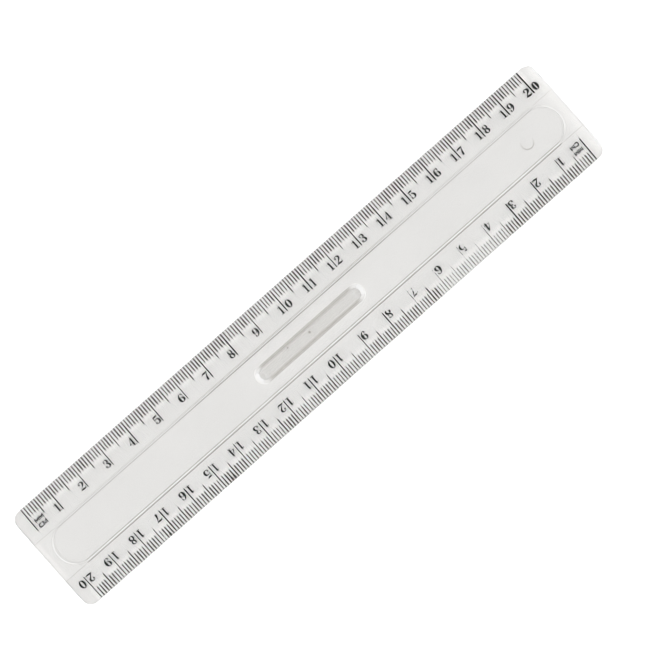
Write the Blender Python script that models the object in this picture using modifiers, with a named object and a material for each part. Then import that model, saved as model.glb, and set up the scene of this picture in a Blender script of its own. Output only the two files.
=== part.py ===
"""A clear moulded 20 cm ruler with a sunken finger grip and a printed millimetre scale on each edge.

Frame: origin under the ruler's centre, on the surface it lies on. +X runs along the ruler in the
direction that the rear scale counts up, +Y points to the rear edge, +Z is up. The ruler looks the
same after a half turn about Z. Metres throughout.
"""

import math

import bmesh
import bpy
from mathutils import Matrix, Vector

MM = 0.001

# Blade
LENGTH = 209.0 * MM
WIDTH = 36.0 * MM
CORNER_RADIUS = 3.0 * MM
EDGE_HEIGHT = 1.0 * MM
BAND_HEIGHT = 2.3 * MM
BAND_HALF_WIDTH = 7.3 * MM
BEVEL_WIDTH = WIDTH / 2 - BAND_HALF_WIDTH
BEVEL_ANGLE = math.atan2(BAND_HEIGHT - EDGE_HEIGHT, BEVEL_WIDTH)
END_ROUNDING = 2.6 * MM
END_DROP = 0.7 * MM
END_STEPS = 12

# Low bead that runs round the band in a round-ended loop
BEAD_LENGTH = 202.6 * MM
BEAD_OUTER = 7.2 * MM
BEAD_INNER = 6.4 * MM
BEAD_HEIGHT = 0.25 * MM
BEAD_SIDE = 0.2 * MM

# Finger grip, a trough sunk in the middle of the band
GRIP_LENGTH = 42.2 * MM
GRIP_WIDTH = 5.8 * MM
GRIP_FLOOR_WIDTH = 3.1 * MM
GRIP_FLOOR = 1.3 * MM
GRIP_ROUNDING = 0.3 * MM

# Marks left by the mould: two shallow ejector-pin discs in the band, and the gate in the grip
EJECTOR_RADIUS = 2.05 * MM
EJECTOR_DEPTH = 0.08 * MM
EJECTOR_SPOTS = ((-89.1 * MM, -0.5 * MM), (87.8 * MM, -0.2 * MM))
GATE_RADIUS = 0.4 * MM
GATE_HEIGHT = 0.12 * MM
GATE_SPOT = (0.25 * MM, 0.5 * MM)

# Printed scales
SCALE_MM = 200
ZERO_FROM_END = 4.0 * MM
STROKE_WIDTH = 0.30 * MM
MM_STROKE = 3.4 * MM
HALF_CM_STROKE = 5.1 * MM
CM_STROKE = 8.2 * MM
EDGE_LINE_WIDTH = 0.06 * MM
PRINT_INSET = 0.04 * MM
PRINT_THICKNESS = 0.03 * MM
PRINT_GAP = 0.01 * MM

ROUND_SEGMENTS = 96
SHARP_ANGLE = math.radians(5)
CUT_MARGIN = 2.0 * MM


def clear_scene():
    for obj in list(bpy.data.objects):
        bpy.data.objects.remove(obj)


def new_collection(name):
    collection = bpy.data.collections.new(name)
    bpy.context.scene.collection.children.link(collection)
    return collection


def new_material(name, colour, roughness, transmission=0.0, ior=1.5):
    material = bpy.data.materials.new(name)
    material.use_nodes = True
    shader = material.node_tree.nodes["Principled BSDF"]
    shader.inputs["Base Color"].default_value = (*colour, 1.0)
    shader.inputs["Roughness"].default_value = roughness
    shader.inputs["Metallic"].default_value = 0.0
    shader.inputs["Transmission Weight"].default_value = transmission
    shader.inputs["IOR"].default_value = ior
    return material


def mesh_object(name, bm, collection):
    bmesh.ops.recalc_face_normals(bm, faces=bm.faces)
    mesh = bpy.data.meshes.new(name)
    bm.to_mesh(mesh)
    bm.free()
    obj = bpy.data.objects.new(name, mesh)
    collection.objects.link(obj)
    return obj


def as_cutter(obj):
    obj.hide_render = True
    obj.display_type = "WIRE"
    return obj


def boolean(target, other, operation):
    modifier = target.modifiers.new(f"{operation.lower()}_{other.name}", "BOOLEAN")
    modifier.operation = operation
    modifier.object = other
    modifier.solver = "EXACT"


def apply_modifiers(obj):
    """Turns the modifiers' result into the object's own mesh, smooth except at its real edges."""
    depsgraph = bpy.context.evaluated_depsgraph_get()
    mesh = bpy.data.meshes.new_from_object(obj.evaluated_get(depsgraph))
    obj.modifiers.clear()
    obj.data = mesh
    mesh.name = obj.name
    mesh.shade_smooth()
    mesh.set_sharp_from_angle(angle=SHARP_ANGLE)


def stadium(name, collection, length, low, high):
    """A tapered block with round ends. low and high are each a (radius, height) pair."""
    (low_radius, low_z), (high_radius, high_z) = low, high
    bm = bmesh.new()
    bmesh.ops.create_cone(
        bm,
        cap_ends=True,
        segments=ROUND_SEGMENTS,
        radius1=low_radius,
        radius2=high_radius,
        depth=high_z - low_z,
        matrix=Matrix.Translation((0, 0, (low_z + high_z) / 2))
        @ Matrix.Rotation(math.pi / ROUND_SEGMENTS, 4, "Z"),
    )
    for vertex in bm.verts:
        vertex.co.x += math.copysign(length / 2, vertex.co.x)
    return mesh_object(name, bm, collection)


def cylinder(name, collection, radius, low_z, high_z, centre):
    bm = bmesh.new()
    bmesh.ops.create_cone(
        bm,
        cap_ends=True,
        segments=ROUND_SEGMENTS,
        radius1=radius,
        radius2=radius,
        depth=high_z - low_z,
        matrix=Matrix.Translation((*centre, (low_z + high_z) / 2)),
    )
    return mesh_object(name, bm, collection)


def prism(name, collection, outline, sweep):
    """A flat outline of 3-D points, swept along a vector into a solid."""
    bm = bmesh.new()
    face = bm.faces.new([bm.verts.new(point) for point in outline])
    grown = bmesh.ops.extrude_face_region(bm, geom=[face])["geom"]
    moved = [item for item in grown if isinstance(item, bmesh.types.BMVert)]
    bmesh.ops.translate(bm, verts=moved, vec=Vector(sweep))
    return mesh_object(name, bm, collection)


def roof_bar(collection):
    """The two bevels, carried on until they meet in a ridge, along the whole ruler and past it."""
    half = WIDTH / 2
    start = -LENGTH / 2 - CUT_MARGIN
    ridge = EDGE_HEIGHT + half * math.tan(BEVEL_ANGLE)
    section = [(-half, 0), (half, 0), (half, EDGE_HEIGHT), (0, ridge), (-half, EDGE_HEIGHT)]
    outline = [(start, y, z) for y, z in section]
    return prism("blade", collection, outline, (LENGTH + 2 * CUT_MARGIN, 0, 0))


def side_outline(cutters):
    """The ruler seen from the front: the band's top, which falls in a soft round at each end."""
    half = LENGTH / 2 + 0.1 * MM
    side = WIDTH / 2 + CUT_MARGIN
    quarter = [math.pi / 2 * i / END_STEPS for i in range(END_STEPS + 1)]
    right = [
        (
            half - END_ROUNDING * (1 - math.cos(angle)),
            BAND_HEIGHT - END_DROP * (1 - math.sin(angle)),
        )
        for angle in quarter
    ]
    left = [(-x, z) for x, z in reversed(right)]
    profile = [(-half, -CUT_MARGIN), (half, -CUT_MARGIN), *right, *left]
    outline = [(x, -side, z) for x, z in profile]
    return as_cutter(prism("side_outline", cutters, outline, (0, 2 * side, 0)))


def plan_outline(cutters):
    """The ruler's outline seen from above: a tall box whose four upright edges are rounded."""
    bm = bmesh.new()
    height = BAND_HEIGHT + 2 * CUT_MARGIN
    bmesh.ops.create_cube(
        bm,
        size=1.0,
        matrix=Matrix.Translation((0, 0, BAND_HEIGHT / 2))
        @ Matrix.Diagonal((LENGTH, WIDTH + 0.02 * MM, height, 1.0)),
    )
    upright = [e for e in bm.edges if abs(e.verts[0].co.z - e.verts[1].co.z) > height / 2]
    bmesh.ops.bevel(
        bm,
        geom=upright,
        offset=CORNER_RADIUS,
        segments=ROUND_SEGMENTS // 4,
        profile=0.5,
        affect="EDGES",
    )
    return as_cutter(mesh_object("plan_outline", bm, cutters))


def bead_ring(cutters):
    """The bead, sunk a little into the band so that the union is a clean one."""
    foot = BAND_HEIGHT - 0.3 * MM
    top = BAND_HEIGHT + BEAD_HEIGHT
    straight = BEAD_LENGTH - 2 * BEAD_OUTER
    slope = BEAD_SIDE / BEAD_HEIGHT
    spread = slope * (BAND_HEIGHT - foot)
    low = (BEAD_OUTER + spread, foot)
    ring = stadium("bead", cutters, straight, low, (BEAD_OUTER - BEAD_SIDE, top))
    hollow_low = (BEAD_INNER - spread - slope * MM, foot - MM)
    hollow_high = (BEAD_INNER + BEAD_SIDE + slope * MM, top + MM)
    hollow = stadium("bead_hollow", cutters, straight, hollow_low, hollow_high)
    boolean(ring, as_cutter(hollow), "DIFFERENCE")
    return as_cutter(ring)


def finger_grip(cutters):
    """The trough's hollow, which keeps its wall slope up past the band."""
    slope = (GRIP_WIDTH - GRIP_FLOOR_WIDTH) / 2 / (BAND_HEIGHT - GRIP_FLOOR)
    floor = (GRIP_FLOOR_WIDTH / 2, GRIP_FLOOR)
    mouth = (GRIP_WIDTH / 2 + slope * CUT_MARGIN, BAND_HEIGHT + CUT_MARGIN)
    hollow = stadium("finger_grip", cutters, GRIP_LENGTH - GRIP_WIDTH, floor, mouth)
    rounding = hollow.modifiers.new("rounded_foot", "BEVEL")
    rounding.width = GRIP_ROUNDING
    rounding.segments = 3
    rounding.limit_method = "ANGLE"
    rounding.angle_limit = math.radians(30)
    return as_cutter(hollow)


def build_blade(collection, cutters, material):
    blade = roof_bar(collection)
    boolean(blade, side_outline(cutters), "INTERSECT")
    boolean(blade, plan_outline(cutters), "INTERSECT")
    boolean(blade, bead_ring(cutters), "UNION")
    boolean(blade, finger_grip(cutters), "DIFFERENCE")
    gate_top = GRIP_FLOOR + GATE_HEIGHT
    gate = cylinder("gate_mark", cutters, GATE_RADIUS, GRIP_FLOOR / 2, gate_top, GATE_SPOT)
    boolean(blade, as_cutter(gate), "UNION")
    for side, spot in zip(("left", "right"), EJECTOR_SPOTS):
        low, high = BAND_HEIGHT - EJECTOR_DEPTH, BAND_HEIGHT + MM
        pin = cylinder(f"ejector_mark_{side}", cutters, EJECTOR_RADIUS, low, high, spot)
        boolean(blade, as_cutter(pin), "DIFFERENCE")
    apply_modifiers(blade)
    blade.data.materials.clear()
    blade.data.materials.append(material)
    return blade


def stroke_length(mark):
    if mark % 10 == 0:
        return CM_STROKE
    return HALF_CM_STROKE if mark % 5 == 0 else MM_STROKE


def comb_outline():
    """The printed strokes as one outline. x is along the ruler, y is up the bevel from its edge.

    A hairline along the edge joins the strokes, so that the print is a single body.
    """
    zero = -LENGTH / 2 + ZERO_FROM_END
    half = STROKE_WIDTH / 2
    last = zero + SCALE_MM * MM
    points = [(zero - half, 0.0), (last + half, 0.0)]
    for mark in range(SCALE_MM, -1, -1):
        x = zero + mark * MM
        top = stroke_length(mark)
        if mark != SCALE_MM:
            points.append((x + half, EDGE_LINE_WIDTH))
        points += [(x + half, top), (x - half, top)]
        if mark != 0:
            points.append((x - half, EDGE_LINE_WIDTH))
    return points


def build_scale_print(name, turn, collection, material):
    """A scale's strokes, lying on the bevel. turn is the angle about Z that puts it on its edge."""
    curve = bpy.data.curves.new(name, "CURVE")
    curve.dimensions = "2D"
    curve.fill_mode = "BOTH"
    curve.extrude = PRINT_THICKNESS / 2
    outline = comb_outline()
    spline = curve.splines.new("POLY")
    spline.points.add(len(outline) - 1)
    for point, (x, y) in zip(spline.points, outline):
        point.co = (x, y, 0.0, 1.0)
    spline.use_cyclic_u = True
    curve.materials.append(material)

    up_bevel = Vector((0, -math.cos(BEVEL_ANGLE), math.sin(BEVEL_ANGLE)))
    normal = Vector((0, math.sin(BEVEL_ANGLE), math.cos(BEVEL_ANGLE)))
    edge = Vector((0, WIDTH / 2, EDGE_HEIGHT))
    origin = edge + up_bevel * PRINT_INSET + normal * (PRINT_GAP + PRINT_THICKNESS / 2)
    # The outline is drawn with y pointing up the bevel, so it is turned over about the X axis.
    lie_on_bevel = Matrix.Rotation(math.pi - BEVEL_ANGLE, 4, "X")
    obj = bpy.data.objects.new(name, curve)
    obj.matrix_world = (
        Matrix.Rotation(turn, 4, "Z") @ Matrix.Translation(origin) @ lie_on_bevel
    )
    collection.objects.link(obj)
    return obj


def main():
    clear_scene()
    ruler = new_collection("clear_ruler")
    cutters = new_collection("cutters")
    clear_plastic = new_material("clear_plastic", (0.95, 0.96, 0.96), 0.05, 1.0, 1.59)
    black_ink = new_material("black_ink", (0.02, 0.02, 0.022), 0.55)
    build_blade(ruler, cutters, clear_plastic)
    build_scale_print("rear_scale_print", 0.0, ruler, black_ink)
    build_scale_print("front_scale_print", math.pi, ruler, black_ink)


main()
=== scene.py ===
"""The looks of a clear moulded 20 cm ruler, lying on a pale floor and seen from straight above.

The blade is rebuilt with its small roundings, and the print is laid on its bevels stroke by stroke
and numeral by numeral. Metres throughout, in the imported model's frame.
"""

import math
import random

import bmesh
import bpy
from mathutils import Matrix, Vector


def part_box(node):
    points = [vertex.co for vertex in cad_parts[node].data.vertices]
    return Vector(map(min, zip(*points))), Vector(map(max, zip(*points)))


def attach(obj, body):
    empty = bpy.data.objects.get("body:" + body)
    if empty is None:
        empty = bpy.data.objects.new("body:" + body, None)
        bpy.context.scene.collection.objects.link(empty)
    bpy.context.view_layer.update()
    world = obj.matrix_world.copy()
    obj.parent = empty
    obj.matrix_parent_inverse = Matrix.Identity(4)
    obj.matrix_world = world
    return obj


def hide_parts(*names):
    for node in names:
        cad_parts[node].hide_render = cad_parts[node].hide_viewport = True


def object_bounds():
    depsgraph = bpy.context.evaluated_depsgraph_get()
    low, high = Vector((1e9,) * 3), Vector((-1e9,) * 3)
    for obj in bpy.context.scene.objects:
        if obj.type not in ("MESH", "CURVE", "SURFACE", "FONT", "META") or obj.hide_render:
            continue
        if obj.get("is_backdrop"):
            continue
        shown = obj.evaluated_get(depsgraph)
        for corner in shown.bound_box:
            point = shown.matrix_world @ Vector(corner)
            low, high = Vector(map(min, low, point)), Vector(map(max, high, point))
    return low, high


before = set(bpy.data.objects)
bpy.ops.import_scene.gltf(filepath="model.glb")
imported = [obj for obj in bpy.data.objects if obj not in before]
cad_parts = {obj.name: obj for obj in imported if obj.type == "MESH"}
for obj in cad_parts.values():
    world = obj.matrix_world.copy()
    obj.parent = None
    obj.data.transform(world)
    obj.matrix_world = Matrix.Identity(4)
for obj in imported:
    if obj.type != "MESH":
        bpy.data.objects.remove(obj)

CAD_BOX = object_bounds()
MM = 0.001
RNG = random.Random(20)

# Sizes of the moulding
BLADE_LOW, BLADE_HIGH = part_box("blade")
LENGTH = BLADE_HIGH.x - BLADE_LOW.x
WIDTH = BLADE_HIGH.y - BLADE_LOW.y
CORNER_RADIUS = 3.0 * MM
EDGE_HEIGHT = 1.0 * MM
BAND_HEIGHT = 2.3 * MM
BAND_HALF_WIDTH = 7.3 * MM
BEVEL_ANGLE = math.atan2(BAND_HEIGHT - EDGE_HEIGHT, WIDTH / 2 - BAND_HALF_WIDTH)
END_ROUNDING = 2.6 * MM
END_DROP = 0.7 * MM
BEAD_LENGTH = 202.6 * MM
BEAD_OUTER = 7.2 * MM
BEAD_INNER = 6.4 * MM
BEAD_SIDE = 0.2 * MM
BEAD_CORNER = 0.12 * MM
BEAD_TOP = BAND_HEIGHT + 0.25 * MM
BEAD_FOOT = BAND_HEIGHT - 0.3 * MM
BEAD_START = BAND_HEIGHT - 0.001 * MM  # a hair below the band, so that no edge lies in its face
BEAD_CENTRE = BEAD_LENGTH / 2 - BEAD_OUTER
GRIP_LENGTH = 42.2 * MM
GRIP_WIDTH = 5.8 * MM
GRIP_CENTRE = (GRIP_LENGTH - GRIP_WIDTH) / 2
GRIP_FLOOR_WIDTH = 3.1 * MM
GRIP_FLOOR = 1.3 * MM
GRIP_MIDDLE = 0.3 * MM
GRIP_FLOOR_RISE = 0.01 * MM
GRIP_LIP_WIDTH, GRIP_LIP_RISE = 1.0 * MM, 0.02 * MM
GRIP_FOOT_ROUNDING = 0.6 * MM
GRIP_LIP_ROUNDING = 0.4 * MM
GATE_SPOT = (0.25 * MM, 0.5 * MM)
GATE_PROFILE = (  # millimetres: radius, and height over the grip's floor
    (0.42, -0.6),
    (0.42, -0.02),
    (0.38, 0.08),
    (0.30, 0.11),
    (0.20, 0.06),
    (0.08, -0.06),
)
EJECTOR_RADIUS = 2.05 * MM
EJECTOR_SPOTS = ((-89.1 * MM, -0.5 * MM), (87.8 * MM, -0.2 * MM))
EJECTOR_PROFILE = (  # millimetres: beyond the mark's radius, and height over the band
    (-0.25, -0.055),
    (-0.05, -0.08),
    (0.0, -0.06),
    (0.03, 0.01),
    (0.03, 1.0),
)
ROUND_SEGMENTS = 128
CORNER_STEPS = 24
BEAD_STEPS = 8
GRIP_STEPS = 10
EDGE_ROUNDING = 0.12 * MM
EDGE_STEPS = 3
EDGE_ANGLE = math.radians(50)
SMALL_FACE = 1.0 * MM * MM
SPARE = 2 * MM  # how far a cutting shape reaches past what it cuts
END_SPARE = 0.1 * MM  # the side outline stands past the ends, which the plan outline cuts
EDGE_SPARE = 0.01 * MM  # the plan outline stands past the drawing edges, which the bar has already

# Sizes of the print
ZERO_X = BLADE_LOW.x + 4.0 * MM
SCALE_MM = 200
STROKE_LENGTHS = {"mm": 3.5 * MM, "half": 5.25 * MM, "cm": 8.4 * MM}
STROKE_WIDTHS = {"mm": 0.31 * MM, "half": 0.32 * MM, "cm": 0.32 * MM}
STROKE_CUT = 0.06 * MM
WIDTH_CHOICES = (0.78, 0.95, 1.0, 1.05, 1.2)  # factors, one drawn for each stroke
STROKE_SHIFT = 0.03  # millimetres either way, along the ruler and at a stroke's tip
STROKE_START = (0.03, 0.10)  # millimetres in from the drawing edge
BOLD_STROKE = 1.45
NUMERAL_HEIGHT = 2.7 * MM
NUMERAL_BASE = 8.2 * MM
NUMERAL_WEIGHT = 1.22
BOLD_NUMERAL = 1.5
LONE_GAP = 0.42 * MM  # from a numeral that stands alone to its line
LEFT_GAP = 0.6 * MM  # from the first of two digits to the line between them
RIGHT_GAP = 0.66 * MM
UNIT_ROWS = (("MM", -6.2 * MM, 1.32 * MM), ("CM", -8.3 * MM, 1.42 * MM))  # word, foot, height
UNIT_START = 1.05 * MM
UNIT_GAP = 0.14 * MM
UNIT_WEIGHT = 1.05
SIGN_SPREAD = 1.13
UNIT_SPREAD = 1.02
INK_GAP = 0.004 * MM
INK_THICKNESS = 0.02 * MM
INK_LAYERS = 8
INK_LAYER_STEP = 0.0006 * MM
RING_STEPS = 32
BALL_STEPS = 12
BALL_START, BALL_SWEEP = 0.02, 0.96  # parts of a half turn, which leave a ball's two tips blunt

# Wear of the print
WORN_STEP = 0.32 * MM
WORN_TIP = 3.4 * MM  # from a worn stroke's start; beyond it the stroke is thinner and breaks more
WORN_WIDTHS = (0.80, 0.62)  # before WORN_TIP and beyond it
WORN_SPREAD = (0.75, 1.1)
BREAK_CHANCES = (0.04, 0.22)  # before WORN_TIP and beyond it
BLOT_ROWS = (  # millimetres: place along the stroke, and half width
    (-0.12, 0.2),
    (-0.3, 0.32),
    (-0.75, 0.36),
    (-1.15, 0.27),
    (-1.55, 0.12),
)
WORN_OFF = (  # millimetres along the front scale, up its bevel, and radius
    (68.5, -7.55, 0.42),
    (67.9, -5.75, 0.28),
    (49.0, -5.65, 0.42),
    (48.2, -7.9, 0.4),
    (49.6, -6.9, 0.3),
    (79.4, -6.3, 0.4),
    (78.3, -7.9, 0.45),
    (39.0, -8.0, 0.3),
)


# ---------------------------------------------------------------- mesh helpers


def mesh_object(name, bm):
    bmesh.ops.recalc_face_normals(bm, faces=bm.faces)
    mesh = bpy.data.meshes.new(name)
    bm.to_mesh(mesh)
    bm.free()
    obj = bpy.data.objects.new(name, mesh)
    bpy.context.scene.collection.objects.link(obj)
    return obj


def loft(name, loops, joined=False):
    """A closed solid through loops of equal length. Its ends are capped, or joined to each other."""
    bm = bmesh.new()
    rings = [[bm.verts.new(point) for point in loop] for loop in loops]
    for low, high in zip(rings, rings[1:] + rings[:1] if joined else rings[1:]):
        for i in range(len(low)):
            j = (i + 1) % len(low)
            bm.faces.new((low[i], low[j], high[j], high[i]))
    if not joined:
        bm.faces.new(rings[0][::-1])
        bm.faces.new(rings[-1])
    return mesh_object(name, bm)


def rounded_path(corners, steps):
    """A 2-D path through (x, y, radius) corners, each turned by an arc of its own radius."""
    path = [Vector(corners[0][:2])]
    for before, corner, after in zip(corners, corners[1:], corners[2:]):
        point, radius = Vector(corner[:2]), corner[2]
        back = (Vector(before[:2]) - point).normalized()
        ahead = (Vector(after[:2]) - point).normalized()
        turn = math.pi - back.angle(ahead)
        if radius == 0 or turn < 1e-4:
            path.append(point)
            continue
        reach = radius * math.tan(turn / 2)
        centre = point + (back + ahead).normalized() * (radius / math.cos(turn / 2))
        start, end = point + back * reach - centre, point + ahead * reach - centre
        for i in range(steps + 1):
            k = i / steps
            weight_a = math.sin((1 - k) * turn) / math.sin(turn)
            weight_b = math.sin(k * turn) / math.sin(turn)
            path.append(centre + start * weight_a + end * weight_b)
    path.append(Vector(corners[-1][:2]))
    return path


def stadium_loop(half_straight, radius, z):
    """A round-ended outline at height z, with radius at its two ends."""
    points = []
    for i in range(ROUND_SEGMENTS):
        angle = 2 * math.pi * (i + 0.5) / ROUND_SEGMENTS
        x, y = radius * math.cos(angle), radius * math.sin(angle)
        points.append(Vector((x + math.copysign(half_straight, x), y, z)))
    return points


def round_ended_solid(name, half_straight, profile):
    return loft(name, [stadium_loop(half_straight, radius, z) for radius, z in profile])


def round_solid(name, profile, spot):
    solid = round_ended_solid(name, 0.0, profile)
    solid.data.transform(Matrix.Translation((*spot, 0)))
    return solid


def prism(name, outline, sweep):
    bm = bmesh.new()
    face = bm.faces.new([bm.verts.new(point) for point in outline])
    grown = bmesh.ops.extrude_face_region(bm, geom=[face])["geom"]
    moved = [item for item in grown if isinstance(item, bmesh.types.BMVert)]
    bmesh.ops.translate(bm, verts=moved, vec=Vector(sweep))
    return mesh_object(name, bm)


def boolean(target, other, operation):
    modifier = target.modifiers.new(operation.lower(), "BOOLEAN")
    modifier.operation = operation
    modifier.object = other
    modifier.solver = "EXACT"


def apply_modifiers(obj):
    depsgraph = bpy.context.evaluated_depsgraph_get()
    mesh = bpy.data.meshes.new_from_object(obj.evaluated_get(depsgraph))
    obj.modifiers.clear()
    obj.data = mesh
    mesh.name = obj.name


# ---------------------------------------------------------------- the moulding


def roof_bar():
    """Both bevels, carried on until they meet in a ridge, along the whole ruler and past it."""
    half = WIDTH / 2
    start = -LENGTH / 2 - SPARE
    ridge = EDGE_HEIGHT + half * math.tan(BEVEL_ANGLE)
    section = [(-half, 0), (half, 0), (half, EDGE_HEIGHT), (0, ridge), (-half, EDGE_HEIGHT)]
    return prism("blade_moulding", [(start, y, z) for y, z in section], (LENGTH + 2 * SPARE, 0, 0))


def side_outline():
    """The ruler seen from the front: its flat top, which falls in a soft round at each end."""
    half, side = LENGTH / 2 + END_SPARE, WIDTH / 2 + SPARE
    right = []
    for i in range(CORNER_STEPS + 1):
        angle = math.pi / 2 * i / CORNER_STEPS
        x = half - END_ROUNDING * (1 - math.cos(angle))
        right.append((x, BAND_HEIGHT - END_DROP * (1 - math.sin(angle))))
    left = [(-x, z) for x, z in reversed(right)]
    profile = [(-half, -SPARE), (half, -SPARE), *right, *left]
    return prism("side_outline", [(x, -side, z) for x, z in profile], (0, 2 * side, 0))


def plan_outline():
    """The outline from above: straight sides and four rounded corners."""
    half_x, half_y = LENGTH / 2, WIDTH / 2 + EDGE_SPARE
    outline = []
    for corner, (sx, sy) in enumerate(((1, 1), (-1, 1), (-1, -1), (1, -1))):
        for i in range(CORNER_STEPS + 1):
            angle = math.pi / 2 * (corner + i / CORNER_STEPS)
            x = sx * (half_x - CORNER_RADIUS) + CORNER_RADIUS * math.cos(angle)
            y = sy * (half_y - CORNER_RADIUS) + CORNER_RADIUS * math.sin(angle)
            outline.append((x, y, -SPARE))
    return prism("plan_outline", outline, (0, 0, 4 * SPARE))


def bead_ring():
    """The bead that runs round the band: steep sides and a softly cornered top, swept round."""
    corners = [
        (BEAD_OUTER, BEAD_FOOT, 0),
        (BEAD_OUTER, BEAD_START, 0),
        (BEAD_OUTER - BEAD_SIDE, BEAD_TOP, BEAD_CORNER),
        (BEAD_INNER + BEAD_SIDE, BEAD_TOP, BEAD_CORNER),
        (BEAD_INNER, BEAD_START, 0),
        (BEAD_INNER, BEAD_FOOT, 0),
    ]
    section = rounded_path(corners, BEAD_STEPS)
    loops = [stadium_loop(BEAD_CENTRE, radius, z) for radius, z in section]
    return loft("bead", loops, joined=True)


def finger_grip():
    """The trough, with a soft lip and a hollow round at the foot of its wall."""
    beyond = GRIP_WIDTH / 2 + GRIP_LIP_WIDTH
    corners = [
        (GRIP_MIDDLE, GRIP_FLOOR, 0),
        (GRIP_FLOOR_WIDTH / 2, GRIP_FLOOR + GRIP_FLOOR_RISE, GRIP_FOOT_ROUNDING),
        (GRIP_WIDTH / 2, BAND_HEIGHT, GRIP_LIP_ROUNDING),
        (beyond, BAND_HEIGHT + GRIP_LIP_RISE, 0),
        (beyond, BAND_HEIGHT + 3 * MM, 0),
    ]
    return round_ended_solid("finger_grip", GRIP_CENTRE, rounded_path(corners, GRIP_STEPS))


def gate_mark():
    """The nipped-off stub of the gate: a small ring with a dimple in it."""
    profile = [(radius * MM, GRIP_FLOOR + height * MM) for radius, height in GATE_PROFILE]
    return round_solid("gate_mark", profile, GATE_SPOT)


def ejector_mark(spot):
    """A shallow disc left by an ejector pin, with a clean round edge."""
    profile = [
        (EJECTOR_RADIUS + beyond * MM, BAND_HEIGHT + height * MM)
        for beyond, height in EJECTOR_PROFILE
    ]
    return round_solid("ejector_mark", profile, spot)


def shade_moulding(mesh):
    """Rounded strips are smooth. The big flat faces stay flat, which keeps the folds crisp."""
    for face in mesh.polygons:
        face.use_smooth = len(face.vertices) <= 4 or face.area < SMALL_FACE


def build_blade():
    """The bar between its outlines, its edges rounded, with the bead, grip and marks put in."""
    blade = roof_bar()
    outlines = [side_outline(), plan_outline()]
    for outline in outlines:
        boolean(blade, outline, "INTERSECT")
    rounding = blade.modifiers.new("rounded_edges", "BEVEL")
    rounding.width = EDGE_ROUNDING
    rounding.segments = EDGE_STEPS
    rounding.limit_method = "ANGLE"
    rounding.angle_limit = EDGE_ANGLE
    features = [
        (bead_ring(), "UNION"),
        (finger_grip(), "DIFFERENCE"),
        (gate_mark(), "UNION"),
        *((ejector_mark(spot), "DIFFERENCE") for spot in EJECTOR_SPOTS),
    ]
    for feature, operation in features:
        boolean(blade, feature, operation)
    apply_modifiers(blade)
    for helper in [*outlines, *(feature for feature, _ in features)]:
        bpy.data.objects.remove(helper)
    shade_moulding(blade.data)
    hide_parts("blade")
    return finish_piece(blade, CLEAR_PLASTIC)


# ---------------------------------------------------------------- the print


def print_plane(turn):
    """The bevel as a drawing plane: x along the ruler, y towards its edge, z out of the bevel."""
    towards_edge = Vector((0, math.cos(BEVEL_ANGLE), -math.sin(BEVEL_ANGLE)))
    normal = Vector((0, math.sin(BEVEL_ANGLE), math.cos(BEVEL_ANGLE)))
    edge = Vector((0, WIDTH / 2, EDGE_HEIGHT)) + normal * INK_GAP
    plane = Matrix.Identity(4)
    for column, axis in enumerate((Vector((1, 0, 0)), towards_edge, normal, edge)):
        plane[0][column], plane[1][column], plane[2][column] = axis
    return Matrix.Rotation(turn, 4, "Z") @ plane


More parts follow.
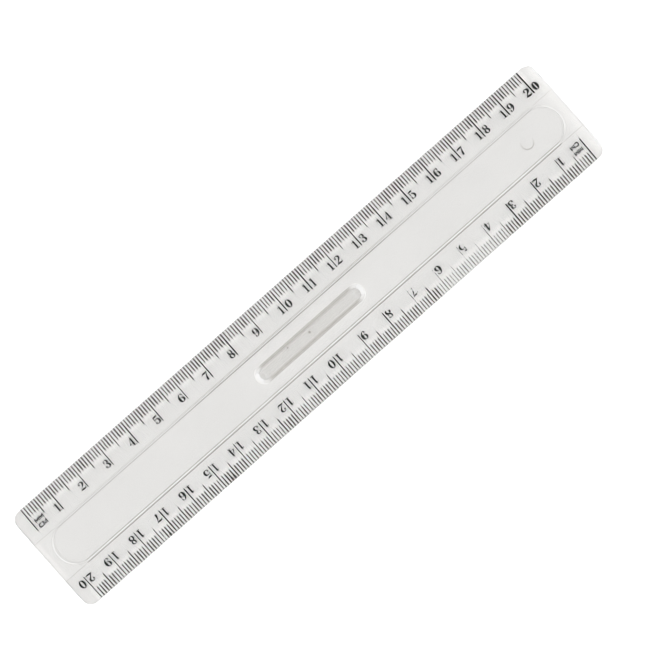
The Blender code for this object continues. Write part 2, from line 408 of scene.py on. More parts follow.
class Ink:
    """Flat print, gathered in the drawing plane and then laid on a bevel."""

    def __init__(self, gaps=()):
        self.bm = bmesh.new()
        self.layer = 0
        self.gaps = gaps

    def ribbon(self, left, right, closed=False):
        """A strip between two lines of points. Strips that cross differ a little in height."""
        self.layer = (self.layer + 1) % INK_LAYERS
        rows = list(zip(left, right))
        if closed:
            rows.append(rows[0])
        runs = [[rows[0]]]
        for before, after in zip(rows, rows[1:]):
            middle = [sum(point[axis] for point in (*before, *after)) / 4 for axis in (0, 1)]
            if any(math.dist(middle, (x, y)) < radius for x, y, radius in self.gaps):
                runs.append([])
            runs[-1].append(after)
        for run in runs:
            if len(run) > 1:
                self.strip(run, closed and len(runs) == 1)

    def strip(self, run, closed):
        """One unbroken strip with a thickness of its own, so that crossing tops share no plane."""
        top = INK_THICKNESS + self.layer * INK_LAYER_STEP
        rows = []
        for a, b in run[:-1] if closed else run:
            corners = ((a, 0), (b, 0), (b, top), (a, top))
            rows.append([self.bm.verts.new((p[0], p[1], z)) for p, z in corners])
        pairs = list(zip(rows, rows[1:] + rows[:1]))
        if not closed:
            pairs.pop()
            self.bm.faces.new(rows[0])
            self.bm.faces.new(rows[-1][::-1])
        for low, high in pairs:
            for i in range(4):
                j = (i + 1) % 4
                self.bm.faces.new((low[i], low[j], high[j], high[i]))

    def upright(self, x, rows):
        """A strip across the scale at x, through rows of (y, half width)."""
        self.ribbon([(x - half, y) for y, half in rows], [(x + half, y) for y, half in rows])

    def stroke(self, points, place):
        """A pen stroke through (x, y, width) points, on a smooth line."""
        line = smooth_line(points)
        left, right = [], []
        for i, (x, y, width) in enumerate(line):
            before, after = line[max(i - 1, 0)], line[min(i + 1, len(line) - 1)]
            along = Vector((after[0] - before[0], after[1] - before[1])).normalized()
            side = Vector((-along.y, along.x)) * width / 2
            left.append(place(x + side.x, y + side.y))
            right.append(place(x - side.x, y - side.y))
        self.ribbon(left, right)

    def ring(self, centre, radii, thick, thin, place):
        """An upright oval whose line is thick at its sides and thin at its top and foot."""
        outer, inner = [], []
        for i in range(RING_STEPS):
            angle = 2 * math.pi * i / RING_STEPS
            c, s = math.cos(angle), math.sin(angle)
            outer.append(place(centre[0] + radii[0] * c, centre[1] + radii[1] * s))
            x = centre[0] + (radii[0] - thick) * c
            inner.append(place(x, centre[1] + (radii[1] - thin) * s))
        self.ribbon(outer, inner, closed=True)

    def ball(self, centre, radius, place):
        upper, lower = [], []
        for i in range(BALL_STEPS + 1):
            angle = math.pi * (BALL_START + BALL_SWEEP * i / BALL_STEPS)
            x = centre[0] + radius * math.cos(angle)
            y = radius * math.sin(angle)
            upper.append(place(x, centre[1] + y))
            lower.append(place(x, centre[1] - y))
        self.ribbon(upper, lower)

    def bar(self, low, high, place):
        left = [place(low[0], low[1]), place(low[0], high[1])]
        right = [place(high[0], low[1]), place(high[0], high[1])]
        self.ribbon(left, right)

    def lay(self, name, plane, material, replaced=None):
        """Make the gathered print a piece on its bevel."""
        obj = mesh_object(name, self.bm)
        obj.data.transform(plane)
        if replaced:
            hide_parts(replaced)
        return finish_piece(obj, material)


def between(p, q, r, s, t):
    """The Catmull-Rom value at part t of the way from q to r."""
    return 0.5 * (
        2 * q + (r - p) * t + (2 * p - 5 * q + 4 * r - s) * t * t + (3 * q - p - 3 * r + s) * t**3
    )


def smooth_line(points, steps=6):
    """Points on a smooth line through the given ones, widths included."""
    if len(points) == 2:
        return points
    line = []
    padded = [points[0], *points, points[-1]]
    for quartet in zip(padded, padded[1:], padded[2:], padded[3:]):
        for i in range(steps):
            line.append(tuple(between(*values, i / steps) for values in zip(*quartet)))
    line.append(points[-1])
    return line


# Each sign is drawn in a cell one unit high: strokes as (x, y, width) points; rings as centre,
# radii, thick side and thin top; balls as centre and radius; bars as two corners. A numeral's line
# is thick where it runs upright and fine where it runs across.
SIGNS = {
    "0": {"wide": 0.68, "rings": [((0.34, 0.5), (0.33, 0.5), 0.17, 0.05)]},
    "1": {
        "wide": 0.5,
        "strokes": [[(0.03, 0.86, 0.05), (0.14, 0.9, 0.07), (0.26, 0.985, 0.05)]],
        "bars": [((0.19, 0.02), (0.35, 0.985)), ((0.04, 0.0), (0.5, 0.055))],
    },
    "2": {
        "wide": 0.66,
        "strokes": [
            [(0.09, 0.74, 0.05), (0.13, 0.9, 0.05), (0.31, 0.97, 0.055), (0.5, 0.88, 0.13),
             (0.55, 0.73, 0.17), (0.46, 0.55, 0.12), (0.27, 0.35, 0.06), (0.1, 0.15, 0.05),
             (0.05, 0.03, 0.05)],
            [(0.05, 0.03, 0.05), (0.16, 0.1, 0.1), (0.32, 0.09, 0.15), (0.48, 0.07, 0.13),
             (0.6, 0.13, 0.06), (0.64, 0.27, 0.04)],
        ],
        "balls": [((0.15, 0.75), 0.09)],
    },
    "3": {
        "wide": 0.64,
        "strokes": [
            [(0.09, 0.79, 0.05), (0.14, 0.92, 0.05), (0.3, 0.97, 0.055), (0.47, 0.88, 0.13),
             (0.51, 0.76, 0.16), (0.43, 0.6, 0.09), (0.25, 0.53, 0.05)],
            [(0.25, 0.53, 0.05), (0.44, 0.47, 0.1), (0.55, 0.29, 0.17), (0.5, 0.1, 0.13),
             (0.31, 0.028, 0.055), (0.13, 0.08, 0.05), (0.07, 0.21, 0.05)],
        ],
        "balls": [((0.15, 0.78), 0.085), ((0.14, 0.22), 0.09)],
    },
    "4": {
        "wide": 0.7,
        "strokes": [[(0.47, 0.98, 0.055), (0.05, 0.29, 0.055)]],
        "bars": [
            ((0.38, 0.02), (0.54, 1.0)),
            ((0.27, 0.0), (0.66, 0.055)),
            ((0.03, 0.25), (0.68, 0.305)),
        ],
    },
    "5": {
        "wide": 0.64,
        "strokes": [
            [(0.1, 0.93, 0.06), (0.22, 0.9, 0.13), (0.38, 0.9, 0.14), (0.54, 0.99, 0.05)],
            [(0.12, 0.96, 0.05), (0.115, 0.72, 0.05), (0.115, 0.48, 0.05)],
            [(0.115, 0.5, 0.05), (0.29, 0.61, 0.06), (0.48, 0.54, 0.13), (0.56, 0.32, 0.17),
             (0.48, 0.1, 0.12), (0.3, 0.028, 0.055), (0.13, 0.08, 0.05), (0.07, 0.2, 0.05)],
        ],
        "balls": [((0.14, 0.21), 0.085)],
    },
    "6": {
        "wide": 0.68,
        "strokes": [
            [(0.13, 0.26, 0.16), (0.11, 0.5, 0.17), (0.19, 0.8, 0.11), (0.37, 0.965, 0.055),
             (0.52, 0.94, 0.05), (0.58, 0.83, 0.05)]
        ],
        "rings": [((0.35, 0.3), (0.31, 0.3), 0.16, 0.05)],
        "balls": [((0.53, 0.82), 0.075)],
    },
    "7": {
        "wide": 0.66,
        "strokes": [
            [(0.05, 0.74, 0.04), (0.08, 0.87, 0.08), (0.24, 0.91, 0.15), (0.42, 0.88, 0.12),
             (0.6, 0.97, 0.05)],
            [(0.61, 0.98, 0.045), (0.46, 0.66, 0.06), (0.34, 0.38, 0.12), (0.3, 0.14, 0.18),
             (0.3, 0.02, 0.18)],
        ],
    },
    "8": {
        "wide": 0.68,
        "rings": [
            ((0.34, 0.765), (0.26, 0.235), 0.12, 0.045),
            ((0.34, 0.28), (0.31, 0.28), 0.15, 0.05),
        ],
        "strokes": [[(0.16, 0.74, 0.08), (0.24, 0.6, 0.12), (0.42, 0.46, 0.12), (0.52, 0.3, 0.08)]],
    },
    "9": {"turned": "6"},
    "M": {
        "wide": 1.12,
        "strokes": [
            [(0.13, 0.95, 0.17), (0.56, 0.16, 0.2)],
            [(0.99, 0.95, 0.17), (0.56, 0.16, 0.2)],
        ],
        "bars": [((0.0, 0.0), (0.2, 1.0)), ((0.92, 0.0), (1.12, 1.0))],
    },
    "C": {
        "wide": 0.95,
        "strokes": [
            [(0.8, 0.8, 0.2), (0.68, 0.89, 0.24), (0.49, 0.91, 0.25), (0.23, 0.8, 0.25),
             (0.12, 0.5, 0.26), (0.23, 0.2, 0.25), (0.49, 0.09, 0.25), (0.68, 0.11, 0.24),
             (0.8, 0.2, 0.2)]
        ],
    },
}


def draw_sign(ink, sign, x, base, height, weight, spread=SIGN_SPREAD):
    """One numeral or letter, its left side at x and its foot at base."""
    shape = SIGNS[sign]
    flipped = "turned" in shape
    shape = SIGNS[shape["turned"]] if flipped else shape

    def place(u, v):
        if flipped:
            u, v = shape["wide"] - u, 1.0 - v
        return x + u * height * spread, base + v * height

    for stroke in shape.get("strokes", []):
        ink.stroke([(u, v, width * weight) for u, v, width in stroke], place)
    for centre, radii, thick, thin in shape.get("rings", []):
        ink.ring(centre, radii, thick * weight, thin * weight, place)
    for centre, radius in shape.get("balls", []):
        ink.ball(centre, radius, place)
    for low, high in shape.get("bars", []):
        ink.bar(low, high, place)


def sign_width(sign, height, spread=SIGN_SPREAD):
    shape = SIGNS[sign]
    return SIGNS[shape.get("turned", sign)]["wide"] * height * spread


def draw_tick(ink, mark, width_factor=1.0, worn=False):
    """One stroke of the scale, which starts at the drawing edge, with softly cut corners."""
    kind = "cm" if mark % 10 == 0 else "half" if mark % 5 == 0 else "mm"
    half = STROKE_WIDTHS[kind] / 2 * width_factor * RNG.choice(WIDTH_CHOICES)
    x = ZERO_X + mark * MM + RNG.uniform(-STROKE_SHIFT, STROKE_SHIFT) * MM
    near = -RNG.uniform(*STROKE_START) * MM
    far = -STROKE_LENGTHS[kind] + RNG.uniform(-STROKE_SHIFT, STROKE_SHIFT) * MM
    if worn:
        draw_worn_tick(ink, x, near, far, half)
        return
    slim = half - STROKE_CUT
    ink.upright(x, [(near, slim), (near - STROKE_CUT, half), (far + STROKE_CUT, half), (far, slim)])


def draw_worn_tick(ink, x, near, far, half):
    """A stroke rubbed thin, more so away from the edge, with small breaks in the long ones."""
    steps = max(3, round((near - far) / WORN_STEP))
    rows = []
    for i in range(steps + 1):
        y = near + (far - near) * i / steps
        rubbed = WORN_WIDTHS[near - y >= WORN_TIP]
        rows.append((y, half * rubbed * RNG.uniform(*WORN_SPREAD)))
    start = 0
    for i in range(1, steps):
        if RNG.random() < BREAK_CHANCES[near - rows[i][0] >= WORN_TIP]:
            if i > start:
                ink.upright(x, rows[start : i + 1])
            start = i + 1
    if len(rows) > start + 1:
        ink.upright(x, rows[start:])


def draw_blot(ink, mark):
    """Ink that ran together at the foot of a stroke."""
    ink.upright(ZERO_X + mark * MM, [(y * MM, half * MM) for y, half in BLOT_ROWS])


def draw_number(ink, centimetres, weight):
    """Up to 9 a numeral stands left of its line. From 10 on the two digits stand astride it."""
    line = ZERO_X + centimetres * 10 * MM
    digits = str(centimetres)
    gap = LONE_GAP if len(digits) == 1 else LEFT_GAP
    x = line - gap - sign_width(digits[0], NUMERAL_HEIGHT)
    draw_sign(ink, digits[0], x, -NUMERAL_BASE, NUMERAL_HEIGHT, weight)
    if len(digits) == 2:
        draw_sign(ink, digits[1], line + RIGHT_GAP, -NUMERAL_BASE, NUMERAL_HEIGHT, weight)


def draw_units(ink):
    """MM over CM, just inside the zero line."""
    for word, base, height in UNIT_ROWS:
        x = ZERO_X + UNIT_START
        for letter in word:
            draw_sign(ink, letter, x, base, height, UNIT_WEIGHT, UNIT_SPREAD)
            x += sign_width(letter, height, UNIT_SPREAD) + UNIT_GAP


def build_scale(name, turn, worn_marks=(), bold_marks=(), bold_numbers=(), blots=(), gaps=()):
    """One printed scale. Marks are in millimetres; gaps are where its numerals are worn off."""
    plane = print_plane(turn)
    strokes, worn_strokes, numerals = Ink(), Ink(), Ink(gaps)
    for mark in range(SCALE_MM + 1):
        worn = mark in worn_marks
        bold = BOLD_STROKE if mark in bold_marks else 1.0
        draw_tick(worn_strokes if worn else strokes, mark, bold, worn)
    for mark in blots:
        draw_blot(strokes, mark)
    for centimetres in range(1, SCALE_MM // 10 + 1):
        weight = BOLD_NUMERAL if centimetres in bold_numbers else NUMERAL_WEIGHT
        draw_number(numerals, centimetres, weight)
    draw_units(numerals)
    strokes.lay(f"{name}_strokes", plane, BLACK_INK, f"{name}_scale_print")
    numerals.lay(f"{name}_numerals", plane, BLACK_INK)
    if worn_marks:
        worn_strokes.lay(f"{name}_worn_strokes", plane, WORN_INK)


# ---------------------------------------------------------------- materials


def grey(value):
    return (value, value, value)


CLEAN = grey(1.0)
PLASTIC_TINT = (0.865, 0.86, 0.85)
CLOUD_TINT = tuple(value * 1.012 for value in PLASTIC_TINT)
INK_COLOUR = (0.015, 0.015, 0.016)

# Where the painted light and shade on the plastic fade in: the fade is 0 at the first place and 1 at
# the second
BEAD_FADE = (96.0 * MM, 95.2 * MM)  # out from the middle, the end of the bead's run of painted shade
REAR_FADE = (0.0, 1 * MM)  # across the ruler, the rear half
PALER_FADE = (28 * MM, 52 * MM)  # out from the middle, where the rear bead's painted shade grows paler
PALER = 0.6
UNEVEN_GAIN, UNEVEN_LEAST = 1.2, 0.35
FOLD_FADE = (96.5 * MM, 97.5 * MM)
ARC_FADE = (97.5 * MM, 100.2 * MM)
TIP_FADE = (0.2, 0.7)  # how far round the grip's end, as the cosine of the angle from its tip
GRIP_CORNER_FADE = (17.3 * MM, 18.7 * MM)
LEFT_END_FADE = (8 * MM, 6 * MM)  # out from the centre line
THIN_EDGE_FADE = (101.2 * MM, 100.2 * MM)
EJECTOR_FADE = (1.2 * MM, -1.6 * MM)
EJECTOR_LEAN = 0.4

BEAD_PAINTED_SHADING = (  # painted shade and highlight along the bead's sides: millimetres across the ruler, and the tint there
    (-7.47, CLEAN),
    (-7.24, (0.52, 0.50, 0.47)),
    (-7.02, CLEAN),
    (-6.8, grey(1.09)),
    (-6.58, CLEAN),
    (-6.4, (0.72, 0.70, 0.66)),
    (-6.2, CLEAN),
    (6.35, CLEAN),
    (6.58, (0.28, 0.26, 0.24)),
    (6.82, CLEAN),
    (7.0, grey(1.08)),
    (7.2, CLEAN),
    (7.38, (0.80, 0.78, 0.75)),
    (7.56, CLEAN),
)
FOLD_PAINTED_SHADE = (  # painted shade along the folds of the bevels beyond the bead's ends
    (-7.5, CLEAN),
    (-7.28, (0.86, 0.85, 0.84)),
    (-7.1, CLEAN),
    (6.95, CLEAN),
    (7.15, (0.89, 0.88, 0.87)),
    (7.35, CLEAN),
)
ARC_PAINTED_LIGHT = (  # painted highlight and shade on the bead's round ends: millimetres out from the centre of the bead's end
    (6.2, CLEAN),
    (6.42, (0.90, 0.90, 0.89)),
    (6.56, CLEAN),
    (6.66, grey(1.18)),
    (6.98, grey(1.18)),
    (7.08, CLEAN),
    (7.22, (0.88, 0.88, 0.87)),
    (7.42, CLEAN),
)
GRIP_WALL_PAINTED_SHADING = (  # painted shade on the grip's walls, with a painted highlight inside them: millimetres from the grip's centre line
    (0.9, (0.935, 0.932, 0.922)),
    (1.25, (0.95, 0.945, 0.935)),
    (1.6, (1.13, 1.125, 1.115)),
    (2.0, (1.10, 1.09, 1.08)),
    (2.3, (0.95, 0.94, 0.92)),
    (2.6, (0.66, 0.64, 0.615)),
    (2.84, (0.68, 0.665, 0.64)),
    (3.02, CLEAN),
)
GRIP_END_PAINTED_LIGHT = (  # painted highlight round the grip's rounded ends, painted shade inside them: millimetres from the centre of the grip's rounded end
    (0.6, (0.935, 0.932, 0.922)),
    (1.4, (0.95, 0.947, 0.94)),
    (1.8, grey(1.08)),
    (2.1, grey(1.18)),
    (3.05, grey(1.18)),
    (3.35, CLEAN),
)
GRIP_CORNER_PAINTED_HIGHLIGHT = (  # painted highlight where the grip's wall turns: millimetres from the grip's centre line, where its wall starts to turn
    (1.3, CLEAN),
    (1.8, grey(1.10)),
    (2.7, grey(1.13)),
    (3.0, CLEAN),
)
EJECTOR_RIM_PAINTED_SHADING = (  # painted highlight and shade round the rim of the right-hand ejector mark: millimetres from its centre
    (1.35, CLEAN),
    (1.65, grey(1.05)),
    (1.88, (0.74, 0.73, 0.71)),
    (2.12, (0.84, 0.83, 0.81)),
    (2.3, CLEAN),
)
LEFT_END_PAINTED_LIGHT = (  # painted light, brighter towards the left end: millimetres along the ruler, between the folds
    (-104.4, grey(1.13)),
    (-103.5, grey(1.05)),
    (-102.6, CLEAN),
)
RIGHT_END_PAINTED_LIGHT = (  # painted light, brighter towards the right end: millimetres along the ruler, over its whole width
    (99.0, CLEAN),
    (101.8, grey(1.04)),
    (103.4, grey(1.10)),
    (104.4, grey(1.17)),
)
THIN_EDGE_PAINTED_LIGHT = (  # painted light along the thin edges: millimetres out from the ruler's centre line
    (12.7, CLEAN),
    (13.8, grey(1.08)),
    (17.9, grey(1.11)),
)
SPOTS = (  # millimetres: place, half size; then the tint at the middle
    (-7.9, 1.35, 0.34, 0.34, (0.45, 0.42, 0.39)),
    (0.2, 0.5, 0.62, 0.62, (0.90, 0.89, 0.88)),
    (0.2, 0.5, 0.24, 0.24, (0.80, 0.78, 0.76)),
)
SPOT_HEIGHT, SPOT_DEPTH = 1.5 * MM, 20 * MM  # so deep that a speck is the same at any height
SPOT_GAIN = 2.0


def new_material(name, roughness, colour, **sockets):
    material = bpy.data.materials.new(name)
    material.use_nodes = True
    tree = material.node_tree
    shader = tree.nodes["Principled BSDF"]
    shader.inputs["Base Color"].default_value = (*colour, 1)
    shader.inputs["Roughness"].default_value = roughness
    for socket, value in sockets.items():
        shader.inputs[socket.replace("_", " ")].default_value = value
    return material, tree, shader


def noise(tree, scale, detail, stretch=(1, 1, 1), turn=0.0):
    """Noise over the object's own metres, drawn out along an axis where stretch is small."""
    place = tree.nodes.new("ShaderNodeTexCoord")
    mapping = tree.nodes.new("ShaderNodeMapping")
    mapping.inputs["Scale"].default_value = stretch
    mapping.inputs["Rotation"].default_value = (0, 0, turn)
    texture = tree.nodes.new("ShaderNodeTexNoise")
    texture.inputs["Scale"].default_value = scale
    texture.inputs["Detail"].default_value = detail
    tree.links.new(place.outputs["Object"], mapping.inputs["Vector"])
    tree.links.new(mapping.outputs["Vector"], texture.inputs["Vector"])
    return texture.outputs["Fac"]


def ramp(tree, source, stops):
    node = tree.nodes.new("ShaderNodeValToRGB")
    elements = node.color_ramp.elements
    for _ in range(len(stops) - 2):
        elements.new(0.5)
    for element, (position, colour) in zip(elements, stops):
        element.position = position
        element.color = (*colour, 1)
    tree.links.new(source, node.inputs["Fac"])
    return node.outputs["Color"]


def add_bump(tree, shader, height, strength, distance, before=None):
    bump = tree.nodes.new("ShaderNodeBump")
    bump.inputs["Strength"].default_value = strength
    bump.inputs["Distance"].default_value = distance
    tree.links.new(height, bump.inputs["Height"])
    if before:
        tree.links.new(before, bump.inputs["Normal"])
    tree.links.new(bump.outputs["Normal"], shader.inputs["Normal"])
    return bump.outputs["Normal"]


def math_node(tree, operation, *values):
    node = tree.nodes.new("ShaderNodeMath")
    node.operation = operation
    for socket, value in zip(node.inputs, values):
        if isinstance(value, (int, float)):
            socket.default_value = value
        else:
            tree.links.new(value, socket)
    return node.outputs["Value"]


def multiply(tree, first, second):
    mix = tree.nodes.new("ShaderNodeMix")
    mix.data_type = "RGBA"
    mix.blend_type = "MULTIPLY"
    mix.inputs["Factor"].default_value = 1.0
    tree.links.new(first, mix.inputs["A"])
    tree.links.new(second, mix.inputs["B"])
    return mix.outputs["Result"]


def faded(tree, colour, fade):
    """A tint that gives way to white where fade is 0."""
    mix = tree.nodes.new("ShaderNodeMix")
    mix.data_type = "RGBA"
    mix.inputs["A"].default_value = (*CLEAN, 1)
    tree.links.new(fade, mix.inputs["Factor"])
    tree.links.new(colour, mix.inputs["B"])
    return mix.outputs["Result"]


def tints_along(tree, coordinate, stops):
    """Tints at places given in millimetres, over a coordinate in metres."""
    first, last = stops[0][0], stops[-1][0]
    spread = last - first
    along = math_node(tree, "MULTIPLY_ADD", coordinate, 1 / (spread * MM), -first / spread)
    return ramp(tree, along, [((place - first) / spread, tint) for place, tint in stops])


def fade_over(tree, coordinate, start, stop):
    """0 before start and 1 after stop; start may be the larger."""
    slope = 1 / (stop - start)
    fade = math_node(tree, "MULTIPLY_ADD", coordinate, slope, -start / (stop - start))
    return math_node(tree, "MINIMUM", math_node(tree, "MAXIMUM", fade, 0.0), 1.0)


def length(tree, *sides):
    squares = [math_node(tree, "MULTIPLY", side, side) for side in sides]
    return math_node(tree, "SQRT", math_node(tree, "ADD", *squares))


def distance(tree, far, y, centre):
    """How far a place is from the centre line, which ends at the given distance along X."""
    beyond = math_node(tree, "SUBTRACT", far, centre)
    return length(tree, math_node(tree, "MAXIMUM", beyond, 0.0), y)


def bead_tint(tree, y, far):
    """Painted shade and highlight, uneven, along the bead's straight sides, paler on the rear one
    near its ends.
    """
    uneven = noise(tree, scale=60, detail=3, stretch=(1, 0.2, 0.2))
    uneven = math_node(tree, "MULTIPLY_ADD", uneven, UNEVEN_GAIN, UNEVEN_LEAST)
    uneven = math_node(tree, "MINIMUM", uneven, 1.0)
    straight = fade_over(tree, far, *BEAD_FADE)
    lines = tints_along(tree, y, BEAD_PAINTED_SHADING)
    tint = faded(tree, lines, math_node(tree, "MULTIPLY", straight, uneven))
    rear = fade_over(tree, y, *REAR_FADE)
    paler = math_node(tree, "MULTIPLY", rear, fade_over(tree, far, *PALER_FADE))
    paler = math_node(tree, "MULTIPLY", paler, PALER)
    return faded(tree, tint, math_node(tree, "SUBTRACT", 1.0, paler))


def fold_tint(tree, y, far):
    """Painted shade along the folds of the bevels, which show beyond the bead's straight sides."""
    return faded(tree, tints_along(tree, y, FOLD_PAINTED_SHADE), fade_over(tree, far, *FOLD_FADE))


def arc_tint(tree, y, far):
    """The bead's round ends: a painted highlight line between two lines of painted shade."""
    arc = tints_along(tree, distance(tree, far, y, BEAD_CENTRE), ARC_PAINTED_LIGHT)
    return faded(tree, arc, fade_over(tree, far, *ARC_FADE))


def grip_tints(tree, y, far):
    """The grip: painted highlight at the corners where its wall turns, painted shade on its wall,
    and painted highlight at its ends.
    """
    radius = distance(tree, far, y, GRIP_CENTRE)
    beyond = math_node(tree, "SUBTRACT", far, GRIP_CENTRE)
    tip = fade_over(tree, math_node(tree, "DIVIDE", beyond, radius), *TIP_FADE)
    side = math_node(tree, "SUBTRACT", 1.0, tip)
    corner = math_node(tree, "MULTIPLY", side, fade_over(tree, far, *GRIP_CORNER_FADE))
    wall = math_node(tree, "SUBTRACT", side, corner)
    parts = ((GRIP_CORNER_PAINTED_HIGHLIGHT, corner), (GRIP_WALL_PAINTED_SHADING, wall), (GRIP_END_PAINTED_LIGHT, tip))
    return [faded(tree, tints_along(tree, radius, stops), fade) for stops, fade in parts]


def end_tints(tree, x, far, wide):
    """The two ends of the ruler and its thin edges, with painted light that makes them brighter than
    its band.
    """
    left = tints_along(tree, x, LEFT_END_PAINTED_LIGHT)
    edges = tints_along(tree, wide, THIN_EDGE_PAINTED_LIGHT)
    return [
        faded(tree, left, fade_over(tree, wide, *LEFT_END_FADE)),
        tints_along(tree, x, RIGHT_END_PAINTED_LIGHT),
        faded(tree, edges, fade_over(tree, far, *THIN_EDGE_FADE)),
    ]


def ejector_tint(tree, x, y):
    """Painted shade and highlight in the rim of the right-hand ejector mark, on the side towards the
    front.
    """
    centre_x, centre_y = EJECTOR_SPOTS[1]
    from_x = math_node(tree, "SUBTRACT", x, centre_x)
    from_y = math_node(tree, "SUBTRACT", y, centre_y)
    ring = tints_along(tree, length(tree, from_x, from_y), EJECTOR_RIM_PAINTED_SHADING)
    lean = math_node(tree, "ADD", from_y, math_node(tree, "MULTIPLY", from_x, EJECTOR_LEAN))
    return faded(tree, ring, fade_over(tree, lean, *EJECTOR_FADE))


def spot_tint(tree, place, spot):
    """A soft round speck."""
    x, y, half_x, half_y, tint = spot
    mapping = tree.nodes.new("ShaderNodeMapping")
    mapping.vector_type = "TEXTURE"
    mapping.inputs["Location"].default_value = (x * MM, y * MM, SPOT_HEIGHT)
    mapping.inputs["Scale"].default_value = (half_x * MM, half_y * MM, SPOT_DEPTH)
    tree.links.new(place, mapping.inputs["Vector"])
    gradient = tree.nodes.new("ShaderNodeTexGradient")
    gradient.gradient_type = "SPHERICAL"
    tree.links.new(mapping.outputs["Vector"], gradient.inputs["Vector"])
    strength = math_node(tree, "MULTIPLY", gradient.outputs["Fac"], SPOT_GAIN)
    strength = math_node(tree, "MINIMUM", strength, 1.0)
    return ramp(tree, strength, [(0.0, CLEAN), (1.0, tint)])


def wear_tint(tree):
    """Painted shade and highlight along the bead, its folds and round ends, on the grip and the
    ejector mark's rim; the ruler's ends and thin edges painted brighter; and a few specks.
    """
    place = tree.nodes.new("ShaderNodeTexCoord").outputs["Object"]
    split = tree.nodes.new("ShaderNodeSeparateXYZ")
    tree.links.new(place, split.inputs["Vector"])
    x, y = split.outputs["X"], split.outputs["Y"]
    far = math_node(tree, "ABSOLUTE", x)
    wide = math_node(tree, "ABSOLUTE", y)
    tint = bead_tint(tree, y, far)
    others = [
        fold_tint(tree, y, far),
        arc_tint(tree, y, far),
        *grip_tints(tree, y, far),
        *end_tints(tree, x, far, wide),
        ejector_tint(tree, x, y),
        *(spot_tint(tree, place, spot) for spot in SPOTS),
    ]
    for other in others:
        tint = multiply(tree, tint, other)
    return tint


def clear_plastic():
    material, tree, shader = new_material(
        "clear_plastic", 0.05, PLASTIC_TINT, IOR=1.59, Transmission_Weight=1.0
    )
    clouds = noise(tree, scale=45, detail=4)
    clouds = ramp(tree, clouds, [(0.3, PLASTIC_TINT), (0.7, CLOUD_TINT)])
    # The base colour carries painted light and shade, besides the clouds and specks.
    tree.links.new(multiply(tree, clouds, wear_tint(tree)), shader.inputs["Base Color"])
    haze = noise(tree, scale=260, detail=6)
    haze = ramp(tree, haze, [(0.35, grey(0.03)), (0.75, grey(0.14))])
    tree.links.new(haze, shader.inputs["Roughness"])
    flow = noise(tree, scale=35, detail=1)
    flow = add_bump(tree, shader, flow, strength=0.03, distance=0.12 * MM)
    scratches = noise(tree, scale=900, detail=4, stretch=(0.03, 1, 1), turn=0.25)
    lines = ramp(tree, scratches, [(0.66, grey(0)), (0.7, grey(1)), (0.74, grey(0))])
    add_bump(tree, shader, lines, strength=0.25, distance=0.01 * MM, before=flow)
    return material


def ink_material(name, stops, roughness):
    material, tree, shader = new_material(name, roughness, INK_COLOUR, Specular_IOR_Level=0.15)
    wear = noise(tree, scale=1100, detail=5)
    tree.links.new(ramp(tree, wear, stops), shader.inputs["Base Color"])
    grain = noise(tree, scale=6000, detail=2)
    add_bump(tree, shader, grain, strength=0.2, distance=0.01 * MM)
    return material


def floor_material():
    material, tree, shader = new_material("pale_floor", 0.9, grey(0.88))
    shade = noise(tree, scale=6, detail=3)
    shade = ramp(tree, shade, [(0.3, grey(0.875)), (0.7, grey(0.89))])
    tree.links.new(shade, shader.inputs["Base Color"])
    return material


def finish_piece(obj, material):
    """One material, and a place on the ruler's one body."""
    obj.data.materials.clear()
    obj.data.materials.append(material)
    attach(obj, "root")
    return obj


# ---------------------------------------------------------------- floor, light and camera


FLOOR_HALF_SIZE = 8.0
FLOOR_HEIGHT = -0.05 * MM  # just below the ruler, so that they share no plane
WORLD_STRENGTH = 0.7
CAMERA_PLACE = Vector((-9.4, -4.47, 547.6)) * MM
CAMERA_AIM = Vector((5.15, -0.97, 1.3)) * MM
CAMERA_UP = math.radians(48.52)  # the picture's upward way, round from +X
CAMERA_LENS, CAMERA_SENSOR = 100, 36


def build_floor():
    bm = bmesh.new()
    bmesh.ops.create_grid(bm, x_segments=1, y_segments=1, size=FLOOR_HALF_SIZE)
    floor = mesh_object("floor", bm)
    floor.location.z = FLOOR_HEIGHT
    floor.data.materials.append(floor_material())
    floor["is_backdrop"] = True


def area_light(name, location, size, watts):
    """A softbox aimed at the origin, which the camera doesn't see."""
    data = bpy.data.lights.new(name, "AREA")
    data.shape = "RECTANGLE"
    data.size, data.size_y = size
    data.energy = watts
    light = bpy.data.objects.new(name, data)
    light.location = location
    aim = Vector((0, 0, 0)) - Vector(location)
    light.rotation_euler = aim.to_track_quat("-Z", "Y").to_euler()
    light.visible_camera = False
    bpy.context.scene.collection.objects.link(light)


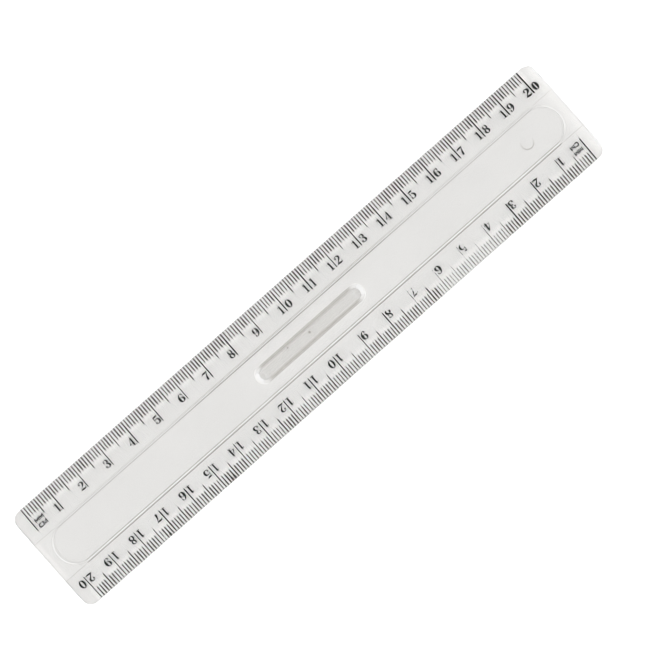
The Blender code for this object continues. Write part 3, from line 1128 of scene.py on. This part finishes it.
def build_light():
    world = bpy.data.worlds.new("studio")
    world.use_nodes = True
    background = world.node_tree.nodes["Background"]
    background.inputs["Color"].default_value = (1, 1, 1, 1)
    background.inputs["Strength"].default_value = WORLD_STRENGTH
    bpy.context.scene.world = world
    area_light("overhead_softbox", location=(0, 0, 1.0), size=(1.4, 1.4), watts=10.3)
    for name, side in (("left", -1), ("right", 1)):
        area_light(f"{name}_softbox", location=(side * 0.7, 0, 0.3), size=(1.2, 0.45), watts=4.5)


def build_camera():
    """Nearly straight above the ruler, turned so that the ruler lies across the picture."""
    data = bpy.data.cameras.new("camera")
    data.lens = CAMERA_LENS
    data.sensor_width = CAMERA_SENSOR
    data.clip_start, data.clip_end = 0.01, 100
    camera = bpy.data.objects.new("camera", data)
    bpy.context.scene.collection.objects.link(camera)
    back = (CAMERA_PLACE - CAMERA_AIM).normalized()
    image_up = Vector((math.cos(CAMERA_UP), math.sin(CAMERA_UP), 0))
    right = image_up.cross(back).normalized()
    turn = Matrix((right, back.cross(right), back)).transposed()
    camera.matrix_world = Matrix.Translation(CAMERA_PLACE) @ turn.to_4x4()
    bpy.context.scene.camera = camera


# ---------------------------------------------------------------- the scene

CLEAR_PLASTIC = clear_plastic()
BLACK_INK = ink_material(
    "black_ink", [(0.0, grey(0.012)), (0.6, grey(0.02)), (0.72, grey(0.09))], 0.5
)
WORN_INK = ink_material("worn_ink", [(0.35, grey(0.03)), (0.68, grey(0.2))], 0.6)
build_blade()
build_scale("rear", 0.0, bold_marks={200}, bold_numbers={20})
build_scale(
    "front",
    math.pi,
    worn_marks={*range(35, 63), 70, 174},
    bold_marks={0},
    blots=(146, 147, 172),
    gaps=[(ZERO_X + x * MM, y * MM, radius * MM) for x, y, radius in WORN_OFF],
)
build_floor()
build_light()
build_camera()
bpy.context.scene.view_settings.view_transform = "Standard"
bpy.context.scene.cycles.filter_width = 0.7

boxes = {"cad": CAD_BOX, "visual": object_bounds()}
{key: [list(corner) for corner in box] for key, box in boxes.items()}
